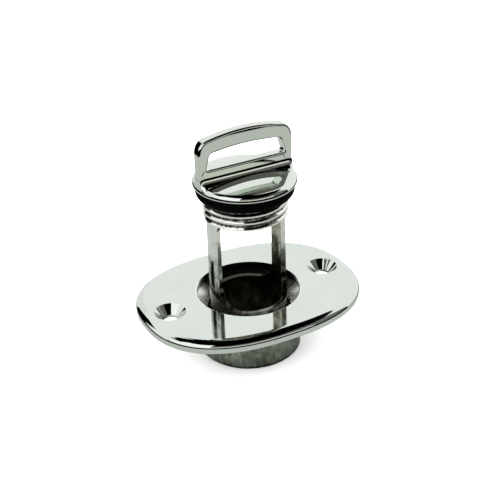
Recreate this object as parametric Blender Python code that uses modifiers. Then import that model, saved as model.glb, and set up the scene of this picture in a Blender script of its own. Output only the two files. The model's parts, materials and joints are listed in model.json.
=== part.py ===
"""Oval garboard drain fitting with a captive drain plug, shown with its plug raised.

The housing is one casting: an oval flange with two countersunk screw holes, a recess with a
conical seat, an internal thread and a short barrel.  The plug is a second casting: a grip tab
with a finger slot, a domed head, a threaded neck and a tubular cage with two windows.  A rubber
O-ring sits under the head, and a snap ring near the foot of the sleeve keeps the plug captive.
X runs along the flange's long axis, Z along the bore, and Z = 0 is the end face of the barrel.
"""
import math

import bmesh
import bpy
from mathutils import Vector

MM = 0.001
ROUND_STEPS = 48
MERGE = 1e-5
CLEARANCE = 1.0 * MM
FULL_TURN = math.tau
QUARTER_TURN = math.pi / 2.0

# Flange and barrel of the housing
FLANGE_TOP_Z = 20.7 * MM
FLANGE_THICK = 3.7 * MM
FLANGE_HALF_LENGTH = 36.8 * MM
FLANGE_HALF_WIDTH = 28.5 * MM
FLANGE_POWER = 2.4
FLANGE_POINTS = 80
TOP_EDGE_REACH = 3.2 * MM
TOP_EDGE_DROP = 2.0 * MM
TOP_EDGE_STEPS = 4
BACK_EDGE_ROUND = 0.4 * MM
BARREL_R = 16.7 * MM
BARREL_CHAMFER = 0.7 * MM
BARREL_OVERLAP = 1.2 * MM

# Countersunk screw holes
SCREW_X = 28.0 * MM
SCREW_HOLE_R = 2.5 * MM
COUNTERSINK_R = 5.05 * MM
COUNTERSINK_DEPTH = 2.9 * MM
SCREW_STEPS = 24

# Recess, seat and bore of the housing
RECESS_R = 16.8 * MM
RECESS_EDGE = 0.3 * MM
SEAT_TOP_Z = 18.25 * MM
SEAT_FOOT_Z = 14.75 * MM
BORE_LAND_R = 13.3 * MM
RELIEF_TOP_Z = 9.5 * MM
RELIEF_R = 13.85 * MM
STOP_Z = 4.5 * MM
RELIEF_SLOPE = 0.3 * MM
COUNTERBORE_R = 15.0 * MM

# Threads: 3/4 inch pipe size, 11.5 turns to the inch
PITCH = 25.4 / 11.5 * MM
CREST_FLAT = 0.28
ROOT_FLAT = 0.22
NECK_CREST_R = 13.5 * MM
NECK_ROOT_R = 12.8 * MM
NECK_FOOT_Z = 48.9 * MM
NECK_TOP_Z = 54.95 * MM
NUT_CREST_R = 13.65 * MM
NUT_ROOT_R = 14.25 * MM
NUT_FOOT_Z = 9.25 * MM
NUT_TOP_Z = 16.35 * MM

# Head of the plug
HEAD_R = 16.3 * MM
HEAD_FOOT_Z = 59.4 * MM
RIM_Z = 61.7 * MM
DOME_SLOPE = math.radians(9.0)
DOME_STEPS = 8
HEAD_ROUND = 1.8 * MM
HEAD_ROUND_STEPS = 4
GROOVE_R = 10.8 * MM
JOIN_DEPTH = 0.6 * MM

# Grip tab with its finger slot
TAB_HALF_WIDTH = 16.0 * MM
TAB_HALF_THICK = 1.9 * MM
TAB_TOP_Z = 77.7 * MM
TAB_SHOULDER_Z = 76.4 * MM
TAB_SHOULDER_X = 12.2 * MM
TAB_SIDE_TOP_Z = 71.5 * MM
SLOT_FOOT_Z = 66.7 * MM
SLOT_FOOT_HALF = 13.4 * MM
SLOT_SIDE_HALF = 12.4 * MM
SLOT_SIDE_TOP_Z = 70.4 * MM
SLOT_SHOULDER_X = 10.3 * MM
SLOT_SHOULDER_Z = 72.0 * MM
SLOT_TOP_Z = 72.7 * MM
SLOT_FOOT_ROUND = 0.9 * MM
TAB_FOOT_Z = 60.0 * MM
TAB_CORNER_DROP = 0.5 * MM
TAB_ARCH_STEPS = 5
SLOT_LEAN = 0.2 * MM
FILLET_R = 3.0 * MM
FILLET_SINK = 0.15 * MM
FILLET_ROWS = 12
FILLET_STEPS = 6
FILLET_STOP = math.radians(190.0)
FILLET_FOOT_Z = 59.8 * MM
FILLET_END_R = 16.05 * MM

# Tubular cage, its windows and its sleeve
CAGE_R = 12.7 * MM
CAGE_BORE_R = 11.0 * MM
CAGE_BORE_TOP_Z = 49.4 * MM
HEAD_BORE_R = 8.3 * MM
HEAD_BORE_FOOT_Z = 52.0 * MM
HEAD_BORE_TOP_Z = 56.4 * MM
HEAD_BORE_CHAMFER = 1.5 * MM
TUBE_OVERLAP = 0.8 * MM
WINDOW_FOOT_Z = 18.85 * MM
WINDOW_TOP_Z = 48.4 * MM
WINDOW_FOOT_ROUND = 7.6 * MM
WINDOW_TOP_ROUND = 2.2 * MM
WINDOW_FOOT_STEPS = 8
WINDOW_TOP_STEPS = 3
WINDOW_MIDDLE_STEPS = 8
CUTTER_REACH = 1.5 * MM
LEG_HALF_ANGLE = math.radians(16.5)
CAGE_FOOT_CHAMFER = 0.3 * MM
RING_GROOVE_R = 11.55 * MM
RING_GROOVE_FOOT_Z = 1.4 * MM
RING_GROOVE_TOP_Z = 3.2 * MM

# O-ring
SEAL_R = 13.6 * MM
SEAL_SECTION_R = 1.9 * MM
SEAL_Z = 57.18 * MM
SEAL_SECTION_STEPS = 12

# Snap ring
SNAP_INNER_R = 11.85 * MM
SNAP_OUTER_R = 14.6 * MM
SNAP_FOOT_Z = 1.7 * MM
SNAP_THICK = 1.2 * MM
SNAP_HALF_GAP = math.radians(11.0)
SNAP_EAR_SWEEP = math.radians(9.0)
SNAP_WIDTH_SHARE = 0.78
SNAP_WIDTH_SWELL = 0.12
SNAP_POINTS = 40

SHARP_ABOVE = math.radians(32.0)

POLISHED_STEEL = ((0.72, 0.74, 0.71), 0.08, 1.0)
SATIN_STEEL = ((0.62, 0.63, 0.60), 0.24, 1.0)
SPRING_STEEL = ((0.42, 0.43, 0.42), 0.30, 1.0)
BLACK_RUBBER = ((0.015, 0.015, 0.016), 0.55, 0.0)


def clear_scene():
    for item in list(bpy.data.objects):
        bpy.data.objects.remove(item, do_unlink=True)


def new_collection(name):
    group = bpy.data.collections.new(name)
    bpy.context.scene.collection.children.link(group)
    return group


def new_material(name, look):
    colour, roughness, metallic = look
    made = bpy.data.materials.new(name)
    made.use_nodes = True
    shader = made.node_tree.nodes["Principled BSDF"]
    shader.inputs["Base Color"].default_value = (*colour, 1.0)
    shader.inputs["Roughness"].default_value = roughness
    shader.inputs["Metallic"].default_value = metallic
    made.diffuse_color = (*colour, 1.0)
    return made


def add_object(name, data, group):
    item = bpy.data.objects.new(name, data)
    group.objects.link(item)
    return item


def evaluated_mesh(item):
    bpy.context.view_layer.update()
    graph = bpy.context.evaluated_depsgraph_get()
    return bpy.data.meshes.new_from_object(item.evaluated_get(graph))


def turned(name, profile, steps, group, closed=False):
    """Turn a half section, given as (radius, height) pairs, about the Z axis."""
    points = [(radius, 0.0, height) for radius, height in profile]
    edges = [(index, index + 1) for index in range(len(points) - 1)]
    if closed:
        edges.append((len(points) - 1, 0))
    mesh = bpy.data.meshes.new(name)
    mesh.from_pydata(points, edges, [])
    item = add_object(name, mesh, group)
    screw = item.modifiers.new("turn", "SCREW")
    screw.axis = "Z"
    screw.angle = FULL_TURN
    screw.steps = steps
    screw.render_steps = steps
    screw.use_merge_vertices = True
    screw.merge_threshold = MERGE
    return item


def outline(name, splines, half_depth, group):
    """A flat closed outline, with any holes, thickened by half_depth each way."""
    curve = bpy.data.curves.new(name, "CURVE")
    curve.dimensions = "2D"
    curve.fill_mode = "BOTH"
    curve.extrude = half_depth
    for points in splines:
        spline = curve.splines.new("POLY")
        spline.points.add(len(points) - 1)
        for place, (across, up) in zip(spline.points, points):
            place.co = (across, up, 0.0, 1.0)
        spline.use_cyclic_u = True
    holder = add_object(name + "_outline", curve, group)
    mesh = evaluated_mesh(holder)
    bpy.data.objects.remove(holder, do_unlink=True)
    work = bmesh.new()
    work.from_mesh(mesh)
    bmesh.ops.remove_doubles(work, verts=work.verts, dist=MERGE)
    bmesh.ops.recalc_face_normals(work, faces=work.faces)
    work.to_mesh(mesh)
    work.free()
    mesh.name = name
    return add_object(name, mesh, group)


def combine(target, tool, operation):
    step = target.modifiers.new(operation.lower(), "BOOLEAN")
    step.operation = operation
    step.solver = "EXACT"
    step.object = tool


def arc(centre_x, centre_z, radius, start, end, steps):
    """Points along an arc, both ends included."""
    points = []
    for index in range(steps + 1):
        angle = start + (end - start) * index / steps
        points.append((centre_x + radius * math.cos(angle), centre_z + radius * math.sin(angle)))
    return points


def corner(x_from, z_from, x_tip, z_tip, x_to, z_to, steps):
    """Points along a rounded corner that leaves towards its tip, leaving out its first end."""
    points = []
    for index in range(1, steps + 1):
        share = index / steps
        keep = (1.0 - share) ** 2
        pull = 2.0 * share * (1.0 - share)
        reach = share ** 2
        across = keep * x_from + pull * x_tip + reach * x_to
        up = keep * z_from + pull * z_tip + reach * z_to
        points.append((across, up))
    return points


def mirrored(right_half):
    """Close a half outline, given bottom to top at +X, with its mirror image at -X."""
    left_half = [(-across, up) for across, up in reversed(right_half) if across > MERGE]
    return right_half + left_half


def thread_rod(name, root_r, crest_r, foot_z, top_z, group):
    """A threaded rod with flat ends."""
    rise = 0.5 * (1.0 - CREST_FLAT - ROOT_FLAT) * PITCH
    heights = (0.0, ROOT_FLAT * PITCH, ROOT_FLAT * PITCH + rise)
    heights += (ROOT_FLAT * PITCH + rise + CREST_FLAT * PITCH, PITCH)
    radii = (root_r, root_r, crest_r, crest_r, root_r)
    turns = math.ceil((top_z - foot_z) / PITCH) + 2
    mesh = bpy.data.meshes.new(name)
    points = [(radius, 0.0, height) for radius, height in zip(radii, heights)]
    mesh.from_pydata(points, [(index, index + 1) for index in range(len(points) - 1)], [])
    holder = add_object(name + "_sweep", mesh, group)
    screw = holder.modifiers.new("thread", "SCREW")
    screw.axis = "Z"
    screw.angle = FULL_TURN
    screw.screw_offset = PITCH
    screw.iterations = turns
    screw.steps = ROUND_STEPS
    screw.render_steps = ROUND_STEPS
    swept = evaluated_mesh(holder)
    bpy.data.objects.remove(holder, do_unlink=True)
    work = bmesh.new()
    work.from_mesh(swept)
    bmesh.ops.translate(work, verts=work.verts, vec=(0.0, 0.0, foot_z - 1.2 * PITCH))
    bmesh.ops.remove_doubles(work, verts=work.verts, dist=MERGE)
    for height, normal in ((foot_z, (0.0, 0.0, -1.0)), (top_z, (0.0, 0.0, 1.0))):
        everything = work.verts[:] + work.edges[:] + work.faces[:]
        bmesh.ops.bisect_plane(work, geom=everything, dist=MERGE / 10.0, plane_co=(0.0, 0.0, height),
                               plane_no=normal, clear_outer=True)
    bmesh.ops.holes_fill(work, edges=[edge for edge in work.edges if edge.is_boundary])
    bmesh.ops.recalc_face_normals(work, faces=work.faces)
    work.to_mesh(swept)
    work.free()
    swept.name = name
    return add_object(name, swept, group)


def oval(half_length, half_width, power, count):
    """Points round a superellipse."""
    points = []
    for index in range(count):
        angle = FULL_TURN * index / count
        cosine = math.cos(angle)
        sine = math.sin(angle)
        across = half_length * math.copysign(abs(cosine) ** (2.0 / power), cosine)
        up = half_width * math.copysign(abs(sine) ** (2.0 / power), sine)
        points.append((across, up))
    return points


def flatten_top_edge(work):
    """Press the round of the front edge to its lower, elliptical shape."""
    for vert in work.verts:
        below = FLANGE_TOP_Z - vert.co.z
        if below < TOP_EDGE_REACH + MERGE:
            vert.co.z = FLANGE_TOP_Z - below * TOP_EDGE_DROP / TOP_EDGE_REACH


def flange_plate(name, group):
    """The oval plate with its rounded front edge and its eased back edge."""
    points = oval(FLANGE_HALF_LENGTH, FLANGE_HALF_WIDTH, FLANGE_POWER, FLANGE_POINTS)
    plate = outline(name, [points], FLANGE_THICK / 2.0, group)
    work = bmesh.new()
    work.from_mesh(plate.data)
    bmesh.ops.translate(work, verts=work.verts, vec=(0.0, 0.0, FLANGE_TOP_Z - FLANGE_THICK / 2.0))
    bmesh.ops.dissolve_limit(work, angle_limit=math.radians(0.1), verts=work.verts, edges=work.edges)
    edge_rounds = ((FLANGE_TOP_Z, TOP_EDGE_REACH, TOP_EDGE_STEPS),
                   (FLANGE_TOP_Z - FLANGE_THICK, BACK_EDGE_ROUND, 1))
    for height, size, steps in edge_rounds:
        rim = [edge for edge in work.edges if all(abs(end.co.z - height) < MERGE for end in edge.verts)]
        bmesh.ops.bevel(work, geom=rim, offset=size, offset_type="OFFSET", segments=steps,
                        profile=0.5, affect="EDGES")
    flatten_top_edge(work)
    work.to_mesh(plate.data)
    work.free()
    return plate


def window_columns(half_arc):
    """Places round the cage, as arc lengths from the window's middle, where its outline has points."""
    columns = []
    for index in range(WINDOW_FOOT_STEPS + 1):
        turn = QUARTER_TURN * index / WINDOW_FOOT_STEPS
        columns.append(-half_arc + WINDOW_FOOT_ROUND * (1.0 - math.cos(turn)))
    for index in range(1, WINDOW_TOP_STEPS + 1):
        turn = QUARTER_TURN * index / WINDOW_TOP_STEPS
        columns.append(-half_arc + WINDOW_TOP_ROUND * (1.0 - math.cos(turn)))
    columns.sort()
    first = columns[-1]
    middle = []
    for index in range(1, WINDOW_MIDDLE_STEPS):
        middle.append(first * (1.0 - 2.0 * index / WINDOW_MIDDLE_STEPS))
    return columns + middle + [-place for place in reversed(columns)]


def window_cutter(name, middle_angle, group):
    """A radial cutter for one cage window: small upper corners and wide round lower corners."""
    half_arc = CAGE_R * (QUARTER_TURN - LEG_HALF_ANGLE)
    columns = window_columns(half_arc)
    inner_reach = CAGE_BORE_R - CUTTER_REACH
    spread = (CAGE_R + CUTTER_REACH) / inner_reach
    work = bmesh.new()
    inner = bmesh.ops.create_grid(work, x_segments=len(columns) - 1, y_segments=1, size=0.5)["verts"]
    for vert in inner:
        arc_place = columns[round((vert.co.x + 0.5) * (len(columns) - 1))]
        from_leg = half_arc - abs(arc_place)
        if vert.co.y < 0.0:
            inset = max(0.0, WINDOW_FOOT_ROUND - from_leg)
            height = WINDOW_FOOT_Z + WINDOW_FOOT_ROUND - math.sqrt(WINDOW_FOOT_ROUND ** 2 - inset ** 2)
        else:
            inset = max(0.0, WINDOW_TOP_ROUND - from_leg)
            height = WINDOW_TOP_Z - WINDOW_TOP_ROUND + math.sqrt(WINDOW_TOP_ROUND ** 2 - inset ** 2)
        angle = middle_angle + arc_place / CAGE_R
        vert.co = Vector((inner_reach * math.cos(angle), inner_reach * math.sin(angle), height))
    grown = bmesh.ops.extrude_face_region(work, geom=work.faces[:], use_keep_orig=True)
    for vert in grown["geom"]:
        if isinstance(vert, bmesh.types.BMVert):
            vert.co.x *= spread
            vert.co.y *= spread
    bmesh.ops.recalc_face_normals(work, faces=work.faces)
    mesh = bpy.data.meshes.new(name)
    work.to_mesh(mesh)
    work.free()
    return add_object(name, mesh, group)


def arch(half_span, shoulder_z, top_z):
    """Points along a shallow arch from its shoulder to its middle, leaving out its first end."""
    points = []
    for index in range(1, TAB_ARCH_STEPS + 1):
        share = 1.0 - index / TAB_ARCH_STEPS
        points.append((half_span * share, top_z - (top_z - shoulder_z) * share ** 2))
    return points


def grip_tab(name, group):
    """The upright tab with an arched top and a finger slot that has a straight foot."""
    edge = [(TAB_HALF_WIDTH, TAB_FOOT_Z), (TAB_HALF_WIDTH, TAB_SIDE_TOP_Z)]
    edge += corner(TAB_HALF_WIDTH, TAB_SIDE_TOP_Z, TAB_HALF_WIDTH, TAB_SHOULDER_Z - TAB_CORNER_DROP,
                   TAB_SHOULDER_X, TAB_SHOULDER_Z, 6)
    edge += arch(TAB_SHOULDER_X, TAB_SHOULDER_Z, TAB_TOP_Z)
    foot_x = SLOT_FOOT_HALF - SLOT_FOOT_ROUND
    side_x = SLOT_FOOT_HALF - SLOT_LEAN
    side_z = SLOT_FOOT_Z + SLOT_FOOT_ROUND
    slot = [(foot_x, SLOT_FOOT_Z)]
    slot += corner(foot_x, SLOT_FOOT_Z, SLOT_FOOT_HALF, SLOT_FOOT_Z, side_x, side_z, 3)
    slot.append((SLOT_SIDE_HALF, SLOT_SIDE_TOP_Z))
    slot += corner(SLOT_SIDE_HALF, SLOT_SIDE_TOP_Z, SLOT_SIDE_HALF - SLOT_LEAN, SLOT_SHOULDER_Z,
                   SLOT_SHOULDER_X, SLOT_SHOULDER_Z, 4)
    slot += arch(SLOT_SHOULDER_X, SLOT_SHOULDER_Z, SLOT_TOP_Z)
    tab = outline(name, [mirrored(edge), mirrored(slot)], TAB_HALF_THICK, group)
    for vert in tab.data.vertices:
        vert.co = Vector((vert.co.x, -vert.co.z, vert.co.y))
    return tab


def rim_height(radius):
    """Height of a flat head with this head's rounded rim, at a distance from the axis."""
    past = min(max(0.0, radius - HEAD_R + HEAD_ROUND), HEAD_ROUND)
    return RIM_Z - HEAD_ROUND + math.sqrt(HEAD_ROUND ** 2 - past ** 2)


def head_top():
    """Points over the head: a shallow dome from the axis that runs smoothly into its rounded rim."""
    rim = arc(HEAD_R - HEAD_ROUND, RIM_Z - HEAD_ROUND, HEAD_ROUND, QUARTER_TURN - DOME_SLOPE, 0.0,
              HEAD_ROUND_STEPS)
    edge_r, edge_z = rim[0]
    dome_r = edge_r / math.sin(DOME_SLOPE)
    middle_z = edge_z - dome_r * math.cos(DOME_SLOPE)
    dome = arc(0.0, middle_z, dome_r, QUARTER_TURN, QUARTER_TURN - DOME_SLOPE, DOME_STEPS)
    dome[0] = (0.0, middle_z + dome_r)
    return dome + rim[1:]


def fillet_bar(name, group):
    """The concave fillets that carry the tab down to the head and fall away with its rounded rim."""
    section = []
    for across, lift in arc(TAB_HALF_THICK + FILLET_R, FILLET_R, FILLET_R,
                            math.pi * 1.5, FILLET_STOP, FILLET_STEPS):
        section.append((across, lift))
    section.append((TAB_HALF_THICK / 2.0, section[-1][1]))
    section += [(-across, lift) for across, lift in reversed(section)]
    rows = []
    for index in range(-FILLET_ROWS, FILLET_ROWS + 1):
        rows.append(HEAD_R * math.sin(QUARTER_TURN * index / FILLET_ROWS))
    work = bmesh.new()
    grid = bmesh.ops.create_grid(work, x_segments=len(rows) - 1, y_segments=len(section) - 1, size=0.5)
    for vert in grid["verts"]:
        along = rows[round((vert.co.x + 0.5) * (len(rows) - 1))]
        across, lift = section[round((vert.co.y + 0.5) * (len(section) - 1))]
        height = rim_height(math.hypot(along, across)) - FILLET_SINK + lift
        vert.co = Vector((along, across, height))
    grown = bmesh.ops.extrude_face_region(work, geom=work.faces[:], use_keep_orig=True)
    for vert in grown["geom"]:
        if isinstance(vert, bmesh.types.BMVert):
            vert.co.z = FILLET_FOOT_Z - CLEARANCE
    bmesh.ops.recalc_face_normals(work, faces=work.faces)
    mesh = bpy.data.meshes.new(name)
    work.to_mesh(mesh)
    work.free()
    return add_object(name, mesh, group)


def snap_ring(name, group):
    """An open ring with squared ends that stand a little proud as plier ears."""
    middle_r = (SNAP_INNER_R + SNAP_OUTER_R) / 2.0
    first = -QUARTER_TURN + SNAP_HALF_GAP
    sweep = FULL_TURN - 2.0 * SNAP_HALF_GAP
    outer = []
    inner = []
    for index in range(SNAP_POINTS + 1):
        angle = first + sweep * index / SNAP_POINTS
        from_gap = sweep * min(index, SNAP_POINTS - index) / SNAP_POINTS
        ease = SNAP_WIDTH_SHARE + SNAP_WIDTH_SWELL * math.sin(angle)
        if from_gap < SNAP_EAR_SWEEP:
            ease = 1.0
        reach = middle_r + (SNAP_OUTER_R - middle_r) * ease
        outer.append((reach * math.cos(angle), reach * math.sin(angle)))
        inner.append((SNAP_INNER_R * math.cos(angle), SNAP_INNER_R * math.sin(angle)))
    ring = outline(name, [outer + inner[::-1]], SNAP_THICK / 2.0, group)
    for vert in ring.data.vertices:
        vert.co.z += SNAP_FOOT_Z + SNAP_THICK / 2.0
    return ring


def finish(item, look_name, look, smooth_limit):
    item.data.materials.clear()
    item.data.materials.append(new_material(look_name, look))
    bpy.context.view_layer.objects.active = item
    item.select_set(True)
    item.data.shade_smooth()
    item.data.set_sharp_from_angle(angle=smooth_limit)
    item.select_set(False)


def hide_cutter(item):
    item.hide_render = True
    item.display_type = "WIRE"


def build_housing(parts, cutters):
    housing = flange_plate("flange_housing", parts)
    barrel_profile = [(0.0, FLANGE_TOP_Z - BARREL_OVERLAP), (BARREL_R, FLANGE_TOP_Z - BARREL_OVERLAP)]
    barrel_profile += [(BARREL_R, BARREL_CHAMFER), (BARREL_R - BARREL_CHAMFER, 0.0), (0.0, 0.0)]
    barrel = turned("barrel_core", barrel_profile, ROUND_STEPS, cutters)
    combine(housing, barrel, "UNION")
    hidden = [barrel]
    above = FLANGE_TOP_Z + CLEARANCE
    below = FLANGE_TOP_Z - FLANGE_THICK - CLEARANCE
    slope = (COUNTERSINK_R - SCREW_HOLE_R) / COUNTERSINK_DEPTH
    for side_name, side in (("left", -1.0), ("right", 1.0)):
        hole_profile = [(0.0, above), (COUNTERSINK_R + slope * CLEARANCE, above)]
        hole_profile += [(SCREW_HOLE_R, FLANGE_TOP_Z - COUNTERSINK_DEPTH)]
        hole_profile += [(SCREW_HOLE_R, below), (0.0, below)]
        hole = turned("screw_hole_cutter_" + side_name, hole_profile, SCREW_STEPS, cutters)
        hole.location.x = side * SCREW_X
        combine(housing, hole, "DIFFERENCE")
        hidden.append(hole)
    bore_profile = [(0.0, above), (RECESS_R + RECESS_EDGE + CLEARANCE, above)]
    bore_profile += [(RECESS_R, FLANGE_TOP_Z - RECESS_EDGE), (RECESS_R, SEAT_TOP_Z)]
    bore_profile += [(BORE_LAND_R, SEAT_FOOT_Z), (BORE_LAND_R, RELIEF_TOP_Z)]
    bore_profile += [(RELIEF_R, RELIEF_TOP_Z - RELIEF_SLOPE), (RELIEF_R, STOP_Z)]
    bore_profile += [(COUNTERBORE_R, STOP_Z), (COUNTERBORE_R, -CLEARANCE), (0.0, -CLEARANCE)]
    bore = turned("bore_cutter", bore_profile, ROUND_STEPS, cutters)
    combine(housing, bore, "DIFFERENCE")
    nut = thread_rod("nut_thread_cutter", NUT_CREST_R, NUT_ROOT_R, NUT_FOOT_Z, NUT_TOP_Z, cutters)
    combine(housing, nut, "DIFFERENCE")
    hidden += [bore, nut]
    finish(housing, "polished_stainless", POLISHED_STEEL, SHARP_ABOVE)
    return hidden


def build_plug(parts, cutters):
    neck = [(HEAD_R, HEAD_FOOT_Z), (GROOVE_R, HEAD_FOOT_Z)]
    neck += [(GROOVE_R, NECK_TOP_Z - JOIN_DEPTH), (0.0, NECK_TOP_Z - JOIN_DEPTH)]
    plug = turned("plug_body", head_top() + neck, ROUND_STEPS, parts)
    thread = thread_rod("neck_thread", NECK_ROOT_R, NECK_CREST_R, NECK_FOOT_Z, NECK_TOP_Z, cutters)
    combine(plug, thread, "UNION")
    tube_top = NECK_FOOT_Z + TUBE_OVERLAP
    tube_profile = [(0.0, tube_top), (CAGE_R, tube_top), (CAGE_R, RING_GROOVE_TOP_Z)]
    tube_profile += [(RING_GROOVE_R, RING_GROOVE_TOP_Z), (RING_GROOVE_R, RING_GROOVE_FOOT_Z)]
    tube_profile += [(CAGE_R, RING_GROOVE_FOOT_Z), (CAGE_R, CAGE_FOOT_CHAMFER)]
    tube_profile += [(CAGE_R - CAGE_FOOT_CHAMFER, 0.0), (0.0, 0.0)]
    tube = turned("cage_core", tube_profile, ROUND_STEPS, cutters)
    combine(plug, tube, "UNION")
    bar = fillet_bar("tab_fillet_core", cutters)
    trim_top = RIM_Z + FILLET_R + CLEARANCE
    trim_profile = [(0.0, trim_top), (FILLET_END_R, trim_top)]
    trim_profile += [(FILLET_END_R, FILLET_FOOT_Z), (0.0, FILLET_FOOT_Z)]
    trim = turned("tab_fillet_trim", trim_profile, ROUND_STEPS, cutters)
    combine(bar, trim, "INTERSECT")
    combine(plug, bar, "UNION")
    tab = grip_tab("tab_core", cutters)
    combine(plug, tab, "UNION")
    front = window_cutter("window_cutter_front", -QUARTER_TURN, cutters)
    rear = window_cutter("window_cutter_rear", QUARTER_TURN, cutters)
    combine(plug, front, "DIFFERENCE")
    combine(plug, rear, "DIFFERENCE")
    bore_profile = [(0.0, HEAD_BORE_TOP_Z), (HEAD_BORE_R - HEAD_BORE_CHAMFER, HEAD_BORE_TOP_Z)]
    bore_profile += [(HEAD_BORE_R, HEAD_BORE_TOP_Z - HEAD_BORE_CHAMFER), (HEAD_BORE_R, HEAD_BORE_FOOT_Z)]
    bore_profile += [(CAGE_BORE_R, CAGE_BORE_TOP_Z), (CAGE_BORE_R, -CLEARANCE), (0.0, -CLEARANCE)]
    bore = turned("cage_bore_cutter", bore_profile, ROUND_STEPS, cutters)
    combine(plug, bore, "DIFFERENCE")
    finish(plug, "satin_stainless", SATIN_STEEL, SHARP_ABOVE)
    return [thread, tube, bore, front, rear, bar, trim, tab]


def build_seal(parts):
    points = []
    for index in range(SEAL_SECTION_STEPS):
        angle = QUARTER_TURN - FULL_TURN * index / SEAL_SECTION_STEPS
        points.append((SEAL_R + SEAL_SECTION_R * math.cos(angle), SEAL_Z + SEAL_SECTION_R * math.sin(angle)))
    seal = turned("o_ring", points, ROUND_STEPS, parts, closed=True)
    finish(seal, "black_rubber", BLACK_RUBBER, SHARP_ABOVE)


def main():
    clear_scene()
    parts = new_collection("garboard_drain_fitting")
    cutters = new_collection("cutters")
    hidden = build_housing(parts, cutters)
    hidden += build_plug(parts, cutters)
    build_seal(parts)
    ring = snap_ring("retaining_ring", parts)
    finish(ring, "spring_stainless", SPRING_STEEL, SHARP_ABOVE)
    for item in hidden:
        hide_cutter(item)


main()
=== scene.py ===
"""Looks for the oval garboard drain fitting: fine meshes, materials, studio and camera.

Lengths are in metres and heights run along the bore, from the end face of the barrel at Z = 0.
"""
import json
import math

import bmesh
import bpy
from mathutils import Matrix, Vector

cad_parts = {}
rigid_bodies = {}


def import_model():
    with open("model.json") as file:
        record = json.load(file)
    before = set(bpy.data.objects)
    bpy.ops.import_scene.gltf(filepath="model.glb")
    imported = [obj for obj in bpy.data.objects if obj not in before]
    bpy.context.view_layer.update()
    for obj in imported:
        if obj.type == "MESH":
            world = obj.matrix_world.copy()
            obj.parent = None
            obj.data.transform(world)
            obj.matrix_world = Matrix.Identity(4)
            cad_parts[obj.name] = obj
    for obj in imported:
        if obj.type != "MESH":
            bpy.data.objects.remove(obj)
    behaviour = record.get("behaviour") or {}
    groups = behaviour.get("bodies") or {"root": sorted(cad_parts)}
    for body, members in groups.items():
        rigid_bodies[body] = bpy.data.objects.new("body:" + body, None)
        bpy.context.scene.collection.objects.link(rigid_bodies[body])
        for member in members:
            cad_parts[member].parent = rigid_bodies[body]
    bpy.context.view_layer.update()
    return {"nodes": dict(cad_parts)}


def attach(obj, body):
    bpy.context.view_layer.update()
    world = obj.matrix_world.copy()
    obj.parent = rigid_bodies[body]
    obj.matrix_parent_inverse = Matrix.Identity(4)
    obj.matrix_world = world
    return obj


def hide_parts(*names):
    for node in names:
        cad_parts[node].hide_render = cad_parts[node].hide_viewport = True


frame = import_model()

MM = 0.001
MERGE = 4e-6
CLEARANCE = 1.0 * MM
FULL_TURN = math.tau
QUARTER_TURN = math.pi / 2.0
TURN_STEPS = 192
SHARP_ABOVE = math.radians(33.0)
SHORT_OF_TANGENT = math.radians(12.0)
COPLANAR_WITHIN = math.radians(0.1)
MOUTH_STEPS = 6
NORMAL_WEIGHT = 80

# Flange and barrel
FLANGE_TOP_Z = 20.7 * MM
FLANGE_THICK = 3.7 * MM
FLANGE_BACK_Z = FLANGE_TOP_Z - FLANGE_THICK
FLANGE_HALF_LENGTH = 36.8 * MM
FLANGE_HALF_WIDTH = 28.5 * MM
FLANGE_POWER = 2.4
FLANGE_POINTS = 288
TOP_EDGE_REACH = 3.2 * MM
TOP_EDGE_DROP = 2.0 * MM
TOP_EDGE_STEPS = 14
BACK_EDGE_ROUND = 0.4 * MM
BACK_EDGE_STEPS = 4
BARREL_R = 16.7 * MM
BARREL_CHAMFER = 0.7 * MM
BARREL_OVERLAP = 1.2 * MM

# Countersunk screw holes
SCREW_X = 28.0 * MM
SCREW_HOLE_R = 2.5 * MM
COUNTERSINK_R = 5.05 * MM
COUNTERSINK_DEPTH = 2.9 * MM
SCREW_STEPS = 96

# Recess, seat and bore of the housing
RECESS_R = 16.8 * MM
RECESS_EDGE = 0.35 * MM
SEAT_TOP_Z = 18.25 * MM
SEAT_FOOT_Z = 14.75 * MM
BORE_LAND_R = 13.3 * MM
RELIEF_TOP_Z = 9.5 * MM
RELIEF_SLOPE = 0.3 * MM
RELIEF_R = 13.85 * MM
STOP_Z = 4.5 * MM
COUNTERBORE_R = 15.0 * MM
COUNTERBORE_EDGE = 0.3 * MM

# Threads: 3/4 inch pipe size
PITCH = 25.4 / 11.5 * MM
ROOT_FLAT = 0.20
CREST_FLAT = 0.24
THREAD_SHOULDER = 0.86
THREAD_FAR_SHOULDER = 1.14
THREAD_EASE = 0.97
THREAD_LEAD_IN = 1.2 * PITCH
NECK_CREST_R = 13.5 * MM
NECK_ROOT_R = 12.8 * MM
NECK_FOOT_Z = 48.9 * MM
NECK_TOP_Z = 54.95 * MM
NUT_CREST_R = 13.65 * MM
NUT_ROOT_R = 14.25 * MM
NUT_FOOT_Z = 9.25 * MM
NUT_TOP_Z = 16.35 * MM

# Head of the plug
HEAD_R = 16.3 * MM
HEAD_FOOT_Z = 59.4 * MM
HEAD_FOOT_EDGE = 0.25 * MM
RIM_Z = 61.7 * MM
DOME_SLOPE = math.radians(9.0)
DOME_STEPS = 40
HEAD_ROUND = 1.8 * MM
HEAD_ROUND_STEPS = 14
GROOVE_R = 10.8 * MM
JOIN_DEPTH = 0.6 * MM

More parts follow.
